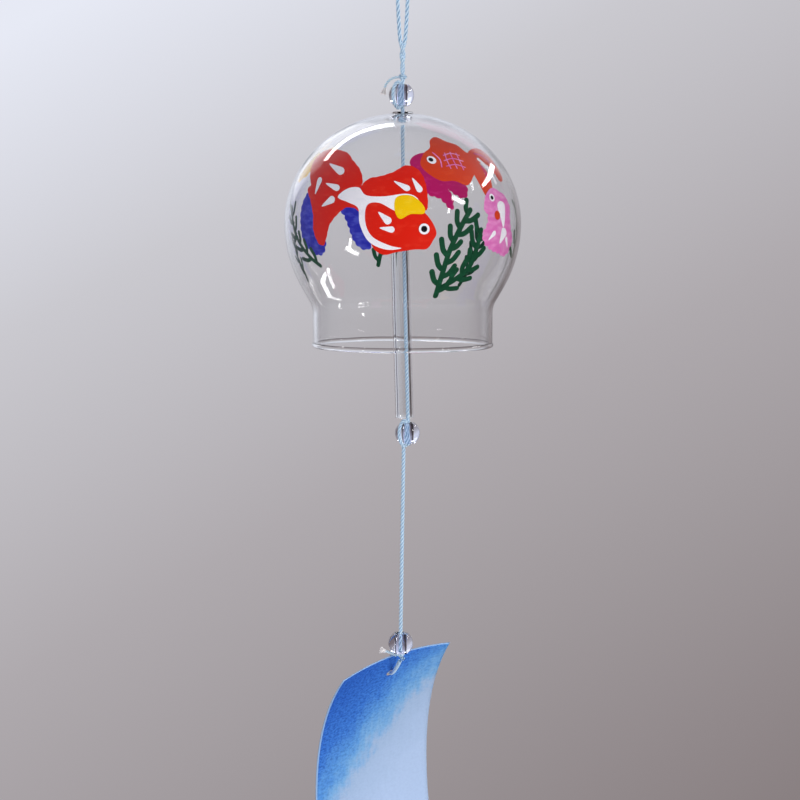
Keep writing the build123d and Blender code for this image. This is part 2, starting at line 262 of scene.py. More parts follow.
makeStudio()
addLight("keySoft", (-1.1, -1.3, 0.9), (1.2, 1.2), 14, "#FBFCFF", glossy=False)
addLight("fillSoft", (1.5, -1.2, 0.1), (1.2, 1.2), 9, "#FFFAF7", glossy=False)
addLight("floorSoft", (0.6, -1.2, -0.9), (1.2, 1.2), 19, glossy=False)
addLight("longStrip", (-0.34, 0.54, 0.56), (0.60, 0.08), 1.1, along=(0.525, 0.148, 0.136))
addLight("backSoft", (-0.60, 1.02, 0.48), (0.85, 0.7), 0.9)
addLight("windowRight", (0.9, -0.55, 0.35), (0.28, 0.08), 1.2)
addLight("windowLeft", (-0.95, -0.75, -0.45), (0.05, 0.24), 0.7)
addLight("streakRight", (0.88, 0.46, 0.44), (0.80, 0.05), 1.9, along=(-0.35, 0.72, -0.06))
addLight("streakLeft", (-0.97, 0.10, -0.78), (0.31, 0.035), 0.35, along=(-0.157, -0.172, 0.205))
world = bpy.data.worlds.new("studio")
world.use_nodes = True
plug(world.node_tree.nodes["Background"], {"Color": linearColour("#E6E7EC"), "Strength": 0.6})
bpy.context.scene.world = world
bpy.context.scene.view_settings.view_transform = "Standard"
print("camera, room and lights")


# sizes that several pieces share, and places that the frame gives

sizes = {
    "cord": 1.3 * mm,
    "bead": 4.0 * mm,        # radius
    "bore": 1.375 * mm,      # two cords wide, so that a strand can pass a bead twice
    "mouth": 0.6 * mm,       # rounding of a bore's edge
    "lean": 1.6,             # degrees that the clapper hangs off plumb
}


def frameAt(place, lean=0.0):
    return Matrix.Translation(place) @ Matrix.Rotation(-math.radians(lean), 4, "Y")


bellTop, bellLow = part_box("bell_glass")[1][2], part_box("bell_glass")[0][2]
topKnot, stopKnot, sailKnot = middleOf("top_knot"), middleOf("stop_knot"), middleOf("sail_knot")
topBead = frameAt(middleOf("top_bead"))
lowerBead = frameAt(middleOf("lower_bead"), sizes["lean"])
sailBead = frameAt(middleOf("sail_bead"))


# clear glass

# Soda-lime glass, blown and fire-polished: clear, with a painted shade where it is seen edge on
# through its wall, and a faint wave left by the blowing.
def makeGlass(name, clear, edge, waves, waveSize):
    material, add, shader = newMaterial(name, Roughness=0.0, IOR=1.5, Transmission_Weight=1.0)
    facing = add("ShaderNodeLayerWeight", {"Blend": 0.5}).outputs["Facing"]
    # painted shade: the colour turns to the dark edge colour where the surface is seen edge on, in
    # place of the dark surroundings that refraction shows there
    colour = add("ShaderNodeValToRGB", {"Fac": facing},
                 stops=[(0.0, clear), (0.72, clear), (0.92, edge), (1.0, edge)])
    place = add("ShaderNodeTexCoord").outputs["Object"]
    noise = add("ShaderNodeTexNoise", {"Vector": place, "Scale": 1 / waveSize, "Detail": 1.0})
    dress(add, shader, colour, noise, waves, 0.4 * mm)
    return material


# Thin clear glass hardly shades what is inside it.
def carryGlass(piece, body, slotName, node):
    carry(piece, body, slotName, node)
    piece.visible_shadow = False
    piece.visible_diffuse = False


shellGlass = makeGlass("blownSodaGlass", "#FFFFFF", "#8E9199", 0.5, 18 * mm)
tubeGlass = makeGlass("drawnGlassTube", "#FBFCFD", "#5A5F68", 0.2, 12 * mm)
beadGlass = makeGlass("pressedGlassBead", "#E9ECFA", "#3C4274", 0.3, 2.5 * mm)

bell = {
    "radius": 37.5 * mm,
    "dome": 34.8 * mm,
    "belly": 40.0 * mm,
    "turn": 30,              # degrees of the belly's arc
    "shoulder": 8.0 * mm,
    "neckStep": 8.9 * mm,
    "wall": 1.0 * mm,
    "rim": 0.8 * mm,         # radius of the fire-polished edge
    "hole": 1.1 * mm,
    "holeRound": 0.2 * mm,
    "holeEdge": 0.15 * mm,
    "collar": 3.3 * mm,
    "collarHigh": 0.4 * mm,
    "collarRound": 0.2 * mm,
    "fillet": 0.04 * mm,     # where the collar stands on the dome
    "segments": 168,
    "domeSteps": 60,
    "neckRings": (0.04, 0.3, 0.6, 0.9, 0.98),
}
bellCrown = bellTop - bell["collarHigh"]
bellEquator = bellCrown - bell["dome"]
bellNeck = bell["radius"] - bell["neckStep"]
rimLine = bellLow + bell["rim"]


# The bell's outline at a depth inside its outer face, from near the crown down to the rim.
def bellOutline(depth, startOut):
    side, rise = bell["radius"] - depth, bell["dome"] - depth
    turn = math.radians(bell["turn"])
    belly, shoulder = bell["belly"] - depth, bell["shoulder"] + depth
    neckSide = bellNeck - depth
    bellyOut = side - belly * (1 - math.cos(turn))
    coneOut = neckSide + shoulder * (1 - math.cos(turn))
    coneLow = bellEquator - belly * math.sin(turn) - (bellyOut - coneOut) / math.tan(turn)
    neckTop = coneLow - shoulder * math.sin(turn)
    start = math.degrees(math.acos(startOut / side))
    points = arcPoints((0, bellEquator), side, start, 0, bell["domeSteps"], high=rise)
    points += arcPoints((side - belly, bellEquator), belly, 0, -bell["turn"], 14)[1:]
    points += arcPoints((neckSide + shoulder, neckTop), shoulder,
                        180 - bell["turn"], 180, 10)
    meet = rimLine + math.sqrt(bell["rim"] ** 2 - (bell["wall"] / 2) ** 2)
    return points + [(neckSide, neckTop + (meet - neckTop) * share) for share in bell["neckRings"]]


def makeBell():
    rimOut = bellNeck - bell["wall"] / 2
    meet = math.degrees(math.acos(bell["wall"] / 2 / bell["rim"]))
    collar, corner, fillet = bell["collar"], bell["collarRound"], bell["fillet"]
    foot = bellEquator + bell["dome"] * math.sqrt(1 - (collar / bell["radius"]) ** 2)
    ring = arcPoints((collar - corner, bellTop - corner), corner, 90, 0, 5)
    ring += [(collar, foot + 2 * fillet), (collar, foot + fillet), (collar + fillet, foot)]
    ring += bellOutline(0, collar + 2 * fillet)
    ring += arcPoints((rimOut, rimLine), bell["rim"], meet, -180 - meet, 24)
    ring += bellOutline(bell["wall"], bell["hole"] + bell["holeRound"])[::-1]
    ring += [(bell["hole"], bellCrown - bell["wall"] + bell["holeRound"]),
             (bell["hole"], bellTop - bell["holeEdge"]), (bell["hole"] + bell["holeEdge"], bellTop)]
    return lathe("bellShell", ring, bell["segments"], shellGlass)


carryGlass(makeBell(), "bell", "bell_glass", "bell_glass")

tube = {
    "out": 2.9 * mm,
    "wall": 0.9 * mm,
    "long": 64.5 * mm,
    "lip": 0.25 * mm,        # rounding of the ends
    "side": 1.2 * mm,        # the tube hangs against its cord
    "drop": 0.07 * mm,
    "rings": (0.98, 0.75, 0.5, 0.25, 0.02),
}


def makeTube():
    lip, out, inner = tube["lip"], tube["out"], tube["out"] - tube["wall"]
    high, low = -tube["drop"], -tube["drop"] - tube["long"]
    ring = arcPoints((out - lip, high - lip), lip, 90, 0, 4)
    ring += [(out, low + tube["long"] * share) for share in tube["rings"]]
    ring += arcPoints((out - lip, low + lip), lip, 0, -90, 4)
    ring += arcPoints((inner + lip, low + lip), lip, -90, -180, 4)
    ring += [(inner, low + tube["long"] * share) for share in tube["rings"][::-1]]
    ring += arcPoints((inner + lip, high - lip), lip, 180, 90, 4)
    top = (-tube["side"], 0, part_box("clapper_tube")[1][2])
    return lathe("clapperTube", ring, 56, tubeGlass, frameAt(top, sizes["lean"]))


carryGlass(makeTube(), "tube", "tube_glass", "clapper_tube")


def makeBead(name, place, body, node):
    mouth = sizes["mouth"]
    mouthOut = sizes["bore"] + mouth
    mouthUp = math.sqrt((sizes["bead"] - mouth) ** 2 - mouthOut ** 2)
    meet = math.degrees(math.atan2(mouthUp, mouthOut))
    ring = arcPoints((0, 0), sizes["bead"], meet, -meet, 30)
    ring += arcPoints((mouthOut, -mouthUp), mouth, -meet, -180, 7)[1:]
    ring += [(sizes["bore"], mouthUp * share) for share in (-0.9, 0.0, 0.9)]
    ring += arcPoints((mouthOut, mouthUp), mouth, 180, meet, 7)[:-1]
    carryGlass(lathe(name, ring, 64, beadGlass, place), body, "bead_glass", node)


makeBead("topBead", topBead, "neck", "top_bead")
makeBead("lowerBead", lowerBead, "clapper", "lower_bead")
makeBead("sailBead", sailBead, "sail", "sail_bead")
print("glass")


# painting: goldfish and water weed in glass enamel, on the inside of the bell

painting = {
    "depth": 0.03 * mm,      # the first coat stands this far off the wall, clear of its facets
    "coat": 0.035 * mm,
    "brush": 3.2 * mm,       # size of the strokes' uneven places
    "film": 0.5,             # a coat's thickness and step, as shares of that
    "layer": 0.6,
    "fill": 1.3,             # millimetres between the points inside a shape
    "edge": 0.45,            # and along its edge
    "sharp": 40,             # degrees; a film's rim stays sharp
}

wallLine = bellOutline(bell["wall"], bell["hole"] + bell["holeRound"])
wallReach = [0.0]
for (radiusA, heightA), (radiusB, heightB) in zip(wallLine, wallLine[1:]):
    wallReach.append(wallReach[-1] + math.hypot(radiusB - radiusA, heightB - heightA))
widestReach = wallReach[bell["domeSteps"]]


# A point on the inside wall: a bearing round from the front, then millimetres across, and up
# from the bell's widest line.
def onWall(bearing, across, up, depth):
    reach = min(max(widestReach - up * mm, 0.0), wallReach[-1] - 1e-6)
    i = max(n for n in range(len(wallReach) - 1) if wallReach[n] <= reach)
    (radiusA, heightA), (radiusB, heightB) = wallLine[i], wallLine[i + 1]
    long = wallReach[i + 1] - wallReach[i]
    share = (reach - wallReach[i]) / long
    radius = radiusA + (radiusB - radiusA) * share + depth * (heightB - heightA) / long
    height = heightA + (heightB - heightA) * share - depth * (radiusB - radiusA) / long
    angle = math.radians(bearing) + across * mm / radius
    return Vector((radius * math.sin(angle), -radius * math.cos(angle), height))


# A smooth line through a few points, closed or open.
def smoothLine(points, closed=True):
    points = [Vector(p) for p in points]
    count = len(points)
    line = []
    for i in range(count if closed else count - 1):
        if closed:
            a, b, c, d = (points[(i + n) % count] for n in (-1, 0, 1, 2))
        else:
            a, b = points[max(i - 1, 0)], points[i]
            c, d = points[i + 1], points[min(i + 2, count - 1)]
        steps = max(2, round((c - b).length / painting["edge"]))
        for n in range(steps):
            t = n / steps
            line.append(0.5 * (2 * b + (c - a) * t + (2 * a - 5 * b + 4 * c - d) * t ** 2
                               + (3 * b - a - 3 * c + d) * t ** 3))
    return line if closed else line + [points[-1]]


# The same line with a frilled edge, as fins have.
def frill(line, gap, deep):
    spun = sum(a.x * b.y - b.x * a.y for a, b in zip(line, line[1:] + line[:1]))
    side = deep if spun > 0 else -deep
    reach, frilled = 0.0, []
    for a, b in zip(line, line[1:] + line[:1]):
        run = b - a
        reach += run.length
        out = Vector((run.y, -run.x)).normalized()
        frilled.append(b + out * side * abs(math.sin(math.pi * reach / gap)))
    return frilled


# The outline of a brush stroke with round ends.
def strokeOutline(points, width):
    line = smoothLine(points, closed=False)
    left, right = [], []
    for i, place in enumerate(line):
        run = (line[min(i + 1, len(line) - 1)] - line[max(i - 1, 0)]).normalized()
        side = Vector((-run.y, run.x)) * width / 2
        left.append(place + side)
        right.append(place - side)
    caps = []
    for place, run in ((line[-1], line[-1] - line[-2]), (line[0], line[0] - line[1])):
        run = run.normalized()
        caps.append([place + (Vector((-run.y, run.x)) * math.cos(a) + run * math.sin(a)) * width / 2
                     for a in (math.pi * n / 6 for n in range(1, 6))])
    return left + caps[0] + right[::-1] + caps[1]


def isInside(place, outline):
    inside = False
    for a, b in zip(outline, outline[1:] + outline[:1]):
        crosses = (a.y > place.y) != (b.y > place.y)
        if crosses and place.x < (b.x - a.x) * (place.y - a.y) / (b.y - a.y) + a.x:
            inside = not inside
    return inside


def middleOfFace(flat, face):
    return sum((flat[i] for i in face), Vector((0, 0))) / len(face)


# One coat of paint, filled to its outline: flat points and the triangles between them.
def fillOutline(outline):
    step = painting["fill"]
    rise = 0.87 * step       # rows of even triangles
    lows = [min(p[n] for p in outline) for n in (0, 1)]
    highs = [max(p[n] for p in outline) for n in (0, 1)]
    points = list(outline)
    for row in range(int((highs[1] - lows[1]) / rise) + 1):
        for column in range(int((highs[0] - lows[0]) / step) + 1):
            place = Vector((lows[0] + (column + row % 2 / 2) * step, lows[1] + (row + 0.57) * rise))
            clear = min((place - p).length for p in outline) > step * 0.4
            if clear and isInside(place, outline):
                points.append(place)
    edges = [(i, (i + 1) % len(outline)) for i in range(len(outline))]
    flat, _, faces, *_ = delaunay_2d_cdt(points, edges, [], 0, 1e-5)
    return flat, [f for f in faces if isInside(middleOfFace(flat, f), outline)]


# Enamel fired on glass: opaque, in the brush's own strokes, a little thinner in places.
def makeEnamel(name, thick, thin, thickShare=0.55):
    material, add, shader = newMaterial(name, Roughness=0.45, Specular_IOR_Level=0.15)
    place = add("ShaderNodeTexCoord").outputs["Object"]
    brush = add("ShaderNodeMapping", {"Vector": place, "Scale": (1.0, 1.0, 2.4)})
    noise = add("ShaderNodeTexNoise",
                {"Vector": brush, "Scale": 1 / painting["brush"], "Detail": 4.0})
    colour = add("ShaderNodeValToRGB", {"Fac": noise},
                 stops=[(0.0, thick), (thickShare, thick), (0.85, thin)])
    dress(add, shader, colour, noise, 0.2, 0.04 * mm)
    return material


enamel = {name: makeEnamel(f"{name}Enamel", *look) for name, look in {
    "red": ("#D91E0C", "#E23A24"),
    "orange": ("#CF3A12", "#DB5222"),
    "magenta": ("#BE1668", "#D23A88"),
    "pink": ("#DB6EB8", "#EBA6D6", 0.40),
    "blue": ("#2226A4", "#5560CC", 0.45),
    "yellow": ("#F2C400", "#F6D640"),
    "green": ("#0F432B", "#1B5C3D"),
    "white": ("#F3F1F8", "#DEDDEA"),
    "black": ("#101016", "#1C1C24"),
}.items()}


# A painted figure as one mesh: coats given as (colour, outline), the nearest to the glass first.
def paintFigure(name, bearing, height, coats, size=1.0, mirror=False, turn=0.0):
    points, faces, colours = [], [], []
    used = sorted({colour for colour, _ in coats})
    spin = Matrix.Rotation(math.radians(turn), 2)
    for layer, (colour, outline) in enumerate(coats):
        depth = painting["depth"] + painting["coat"] * painting["layer"] * layer
        placed = [spin @ Vector((-p[0] if mirror else p[0], p[1])) * size for p in outline]
        flat, shape = fillOutline(placed)
        start = len(points)
        points += [onWall(bearing, p.x, height + p.y, depth) for p in flat]
        faces += [[start + i for i in f] for f in shape]
        colours += [used.index(colour)] * len(shape)
    figure = addMesh(name, points, faces, enamel[used[0]])
    for colour in used[1:]:
        figure.data.materials.append(enamel[colour])
    figure.data.polygons.foreach_set("material_index", colours)
    film = figure.modifiers.new("coat", "SOLIDIFY")
    film.thickness = painting["coat"] * painting["film"]
    film.offset = -1
    bakeModifiers(figure)
    figure.data.set_sharp_from_angle(angle=math.radians(painting["sharp"]))
    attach(figure, "bell")


def circle(x, y, radius, count=14):
    return [Vector(p) for p in arcPoints((x, y), radius, 0, 360 - 360 / count, count - 1)]


def eye(x, y, pupil, white):
    return [("black", circle(x, y, pupil)), ("white", circle(x, y, white))]


dropShape = [(-0.5, 0), (0, 0.38), (0.36, 0.5), (0.5, 0), (0.36, -0.5), (0, -0.38)]


def drop(x, y, long, wide, turn):
    spin = Matrix.Rotation(math.radians(turn), 2)
    return smoothLine([Vector((x, y)) + spin @ Vector((u * long, v * wide)) for u, v in dropShape])


# Figures are in millimetres on the wall. A drop is its place, length, width and turn.

# A fancy goldfish that swims down to the right, its long tail spread behind it.
swimmer = {
    "body": [(12.6, -7), (13.6, -4.6), (11.8, -0.8), (8.4, 2.6), (2.5, 6.2), (-4, 8.4),
             (-9.5, 8.6), (-13.4, 8.4), (-14, 4.6), (-9.6, 1.2), (-7.4, -4), (-5.4, -9.4),
             (-2.2, -11.4), (1.6, -10.6), (7, -9.8), (10.6, -9.6)],
    "tailHigh": [(-9.5, 9.5), (-9.9, 14.4), (-13, 18.6), (-15.5, 21.5), (-21.3, 22.9),
                 (-27.5, 22), (-31.4, 18), (-30.5, 12.5), (-26.7, 7.8), (-21, 6.5),
                 (-15, 5.6)],
    "tailLow": [(-12.4, 6.5), (-18, 9), (-26, 10.5), (-30.6, 8.6), (-28.6, 5),
                (-27, 0.5), (-26.8, -4), (-24.9, -7.8), (-22.6, -8.6), (-21.2, -5.6),
                (-20, -2.2), (-16.5, 1.4), (-13.6, 3), (-9.8, 2.6)],
    "dorsal": [(-8.8, 7.6), (-7.5, 11.5), (-3, 12.8), (0.5, 14.2), (4, 16.4), (7.5, 15),
               (9.8, 11), (10.8, 5), (10, 2), (4, 4.4)],
    "pectoral": [(-5.4, 3.6), (-0.6, 1.6), (4.8, -1.4), (3.4, -4.8), (-1.4, -6.4), (-5, -5),
                 (-6.8, -0.6)],
    "band": [(-17.2, 6), (-14, 8.6), (-10.2, 9), (-7.8, 6.6), (-2.4, 6.2), (4.6, 7),
             (8, 5.2), (7.2, 1.6), (1.8, 1.6), (-3.6, 4.2), (-7.4, 3.4), (-7.8, -1.8),
             (-5.6, -6), (-0.4, -8.6), (3, -9.4), (-1.6, -9.8), (-6.8, -7.4), (-9.6, -2.2),
             (-10.2, 2.6), (-13.6, 4.4)],
    "spot": [(1.6, 6), (6, 6.4), (9.6, 3.4), (9.8, 1), (5.8, 0.8), (2.6, -0.6), (1, 2.2)],
    "eye": (9.9, -3.6, 0.95, 1.65),
    "drops": [(-18.6, 15.4, 7, 2.6, -28), (-19.4, 9.4, 5.8, 2, -18),
              (-25.6, 9.6, 5.8, 2, 72), (-20.8, 4.4, 5.6, 2.2, 28), (3, 9.6, 5.6, 1.8, -30),
              (7.4, 9.8, 5.4, 1.8, -58), (-2, -0.2, 5, 2.2, -42), (-1.2, -3.6, 4.6, 1.8, -8)],
    "frill": (2.6, 0.15),
}


def swimmerCoats(main, band, spot):
    coats = eye(*swimmer["eye"]) + [("white", drop(*place)) for place in swimmer["drops"]]
    coats += [(colour, smoothLine(swimmer[part])) for colour, part in
              ((spot, "spot"), (main, "pectoral"), (band, "band"), (main, "body"))]
    return coats + [(main, frill(smoothLine(swimmer[fin]), *swimmer["frill"]))
                    for fin in ("dorsal", "tailHigh", "tailLow")]


# A round goldfish that faces left, with a net of scales drawn on its side.
roundFish = {
    "body": [(-10.2, 0.2), (-8, 4.4), (-5.2, 6.8), (-3.8, 10.2), (-1.2, 12), (1.6, 9.8),
             (4.8, 8.2), (7, 5.2), (9.4, 4.4), (9, -0.4), (6.4, -4), (3.4, -6.8),
             (-0.8, -5.4), (-5, -5.4), (-8.4, -3.2)],
    "tailHigh": [(7.6, 4.6), (11.6, 6.8), (16.2, 6.2), (20.4, 1.8), (22, -4.4), (19, -5.2),
                 (16, -0.6), (12.4, 1), (8.8, 0.4)],
    "tailLow": [(8, 2.4), (11.6, 0.2), (13.8, -3.6), (13.6, -8.4), (10.4, -10.2), (8.4, -6.6),
                (6.8, -1.8)],
    "pupil": (-6.6, 1.9, 0.75),
    "white": (-6.4, 1.8, 1.45),
    "net": [[(-2, 3.6), (0.8, 4.4), (3.6, 3.6)], [(-2.4, 1.6), (0.8, 2.4), (4.2, 1.4)],
            [(-2.2, -0.4), (1, 0.2), (4.2, -0.8)], [(-1.2, 4.6), (-1.4, 2), (-1, -1.2)],
            [(0.8, 5), (0.8, 2.2), (1.2, -1.2)], [(2.8, 4.6), (3, 1.8), (3.4, -1.6)]],
    "netWidth": 0.32,
    # strokes as (line, width)
    "gill": ([(-5, 4.8), (-3.6, 2.2), (-3.8, -0.6)], 0.4),
    "stripeHigh": ([(10.6, 4.6), (15, 3.2), (18.4, -1.4)], 0.7),
    "ray": ([(11.2, 2.4), (14.6, -1.2), (16.4, -6)], 1.1),
    "stripeLow": ([(11.6, -0.4), (12.4, -3), (12, -6)], 0.8),
}


def roundCoats(main, line, stripe):
    coats = [("black", circle(*roundFish["pupil"])), ("white", circle(*roundFish["white"]))]
    coats += [(line, strokeOutline(points, roundFish["netWidth"])) for points in roundFish["net"]]
    coats += [(colour, strokeOutline(*roundFish[mark])) for colour, mark in
              ((line, "gill"), (stripe, "stripeHigh"), ("white", "ray"), (stripe, "stripeLow"))]
    return coats + [(main, smoothLine(roundFish[part])) for part in ("body", "tailHigh", "tailLow")]


# Three fish with wide frilled fins that hang below the head.
drifters = {
    "blue": {
        "head": [(4, 12), (12, 13), (19, 12), (22.6, 8), (20.6, 4), (14, 2), (5, 3)],
        "fins": [(-13, 10.5), (-15.8, 6), (-16.3, 0), (-15, -5), (-11.5, -8.6), (-8, -10.2),
                 (-5, -10), (-3.2, -7), (-3, -2), (-1.5, 2.5), (2, 4.6), (5, 3.2), (7.2, -1),
                 (8.8, -5.5), (11, -8.2), (13.6, -8.6), (15, -6), (15, 1), (13, 8), (9, 11),
                 (1, 12.5), (-7, 12.5)],
        "eye": (18.6, 8.6),
        "drops": [(-9, 3, 6, 2, 70), (-3, 8, 6, 2, 10), (10.5, 0, 6, 2, 100),
                  (6, 8.5, 5, 1.8, 20)],
    },
    "magenta": {
        "head": [(-9.4, 9.5), (-7, 13), (-2.5, 14.5), (1.8, 12.5), (2.6, 8.5), (-2, 6),
                 (-7.2, 6.4)],
        "fins": [(-9, 6), (-9.3, 2), (-7, -0.5), (-4, -2.5), (-1, -3.5), (1.8, -6.6), (3, -7),
                 (3.2, -3.5), (2, -0.2), (4.5, -1.8), (7.4, -3.2), (9.2, -1.8), (8.6, 2.5), (6, 6),
                 (2, 9.5), (-4, 10), (-8, 9)],
        "eye": (-5.6, 10.6),
        "drops": [(0, 2, 5, 1.6, 120), (5, 2, 4, 1.4, 160), (-4, 4, 4, 1.4, 60)],
    },
    "pink": {
        "head": [(-6.8, 3), (-7.4, 6.4), (-5, 9.8), (-1.5, 11.4), (2, 10), (4.6, 8.8),
                 (6.5, 5.5), (4, 1)],
        "fins": [(-6.6, 4.6), (-6.2, 2), (-6.8, -1), (-8.6, -4), (-7, -7), (-3.5, -9), (0.5, -10),
                 (4, -11), (7.5, -9), (8.6, -6), (6.8, -2.5), (6, 1.5), (6.5, 5.5), (1, 7)],
        "eye": (-3.4, 8),
        "drops": [(1.2, 2.6, 8.6, 4.4, 95), (1.4, -4.6, 5.6, 3.4, 60), (-4.4, -4.4, 4.4, 1.6, 40),
                  (4.6, -6.6, 4, 1.4, 120)],
    },
}
drifterMarks = {"eye": (0.7, 1.3), "spot": (-1.8, 2.2, 1.5), "frill": (2.4, 0.55)}


def drifterCoats(kind, mark, spot=None):
    fish = drifters[kind]
    coats = eye(*fish["eye"], *drifterMarks["eye"])
    if spot:
        coats += [(spot, circle(*drifterMarks["spot"]))]
    coats += [(mark, drop(*place)) for place in fish["drops"]]
    return coats + [(kind, frill(smoothLine(fish["fins"]), *drifterMarks["frill"])),
                    (kind, smoothLine(fish["head"]))]


paintFigure("redGoldfish", -5.5, 2.5, swimmerCoats("red", "white", "yellow"))
paintFigure("orangeGoldfish", 29, 19, roundCoats("orange", "pink", "magenta"))
paintFigure("yellowGoldfish", -97, 19, roundCoats("yellow", "orange", "white"), size=0.7,
            mirror=True, turn=-30)
paintFigure("blueGoldfish", -139, 0, drifterCoats("blue", "white"), mirror=True)
paintFigure("magentaGoldfish", 157, 12, drifterCoats("magenta", "pink"), mirror=True)
paintFigure("pinkGoldfish", 54.5, 0.8, drifterCoats("pink", "white", "orange"), size=0.93)


weed = {
    "arm": (0.8, 1.15),      # an arm's length, as a share of the usual one
    "bend": (0.36, 0.24),    # out to the side and on along the stem
    "tip": (0.62, 0.76),
}


# Water weed: a stem with round-tipped arms that bend upwards to each side.
def paintWeed(name, bearing, height, stems, seed, width=1.4, arm=4.4, gap=4.2):
    source = random.Random(seed)
    coats = []
    for stem in stems:
        coats.append(("green", strokeOutline(stem, width)))
        line = smoothLine(stem, closed=False)
        step = round(gap / 2 / painting["edge"])
        for number, i in enumerate(range(step, len(line) - 2, step)):
            run = (line[i] - line[i - 1]).normalized()
            side = Vector((-run.y, run.x)) * (1 if number % 2 else -1)
            long = arm * source.uniform(*weed["arm"])
            stroke = [line[i]] + [line[i] + (side * out + run * on) * long
                                  for out, on in (weed["bend"], weed["tip"])]
            coats.append(("green", strokeOutline(stroke, width)))
    paintFigure(name, bearing, height, coats)


paintWeed("frontWeed", 19, -22.5, [[(0, 0), (0.8, 7), (2.6, 15), (6, 22), (9.4, 27)],
                                   [(0.6, 2.5), (5.5, 5.5), (10.5, 10.5), (13.6, 21)]], 5,
          width=1.7, arm=5, gap=4.6)
paintWeed("leftWeed", -46, -12.5, [[(0, 0), (-4.5, 3), (-10.5, 9), (-15, 18)]], 6, width=1.3)
paintWeed("leftBackWeed", -104, -19, [[(0, 0), (-0.5, 4), (1.5, 9), (1, 14)]], 7, width=1.3,
          arm=4)
paintWeed("rightWeed", 75, -13, [[(0, 0), (-1.6, 6), (1.2, 13), (0.2, 21)]], 8, gap=4)
paintWeed("backWeed", -166, -14.5, [[(0, 0), (-1.4, 5), (-3.2, 10), (-3, 16)]], 9)
paintWeed("backRightWeed", 142, -21.5, [[(0, 0), (-1.8, 5), (-2.6, 10), (-4.6, 16)]], 10)
print("painting")


# cord

laid = {
    "plies": 3,
    "lay": 3.9 * mm,         # one whole turn of a ply; its marks show every 1.3 mm
    "step": 0.16 * mm,
    "sides": 9,
    "fibre": 0.35 * mm,
}


# Dyed cotton yarn, laid up as cord: soft and matt, with painted shade in the grooves between the
# plies and painted light on their crowns.
def makeCordMaterial(name, grooveShade, middle, pale, sheen=0.12):
    material, add, shader = newMaterial(name, Roughness=0.8, Specular_IOR_Level=0.2,
                                        Sheen_Weight=sheen, Sheen_Roughness=0.5)
    place = add("ShaderNodeTexCoord").outputs["Object"]
    fibre = add("ShaderNodeTexNoise", {"Vector": place, "Scale": 1 / laid["fibre"], "Detail": 3.0})
    proud = add("ShaderNodeAttribute", attribute_name="proud").outputs["Fac"]
    lower = add("ShaderNodeMath", {0: fibre, 1: 0.4, 2: -0.25}, operation="MULTIPLY_ADD")
    level = add("ShaderNodeMath", {0: proud, 1: lower}, operation="ADD")
    # painted shade and light: points low in the grooves between plies take the dark colour, points
    # on the plies' crowns the pale one
    colour = add("ShaderNodeValToRGB", {"Fac": level},
                 stops=[(0.45, grooveShade), (0.72, middle), (0.98, pale)])
    dress(add, shader, colour, fibre, 0.4, 0.06 * mm)
    return material


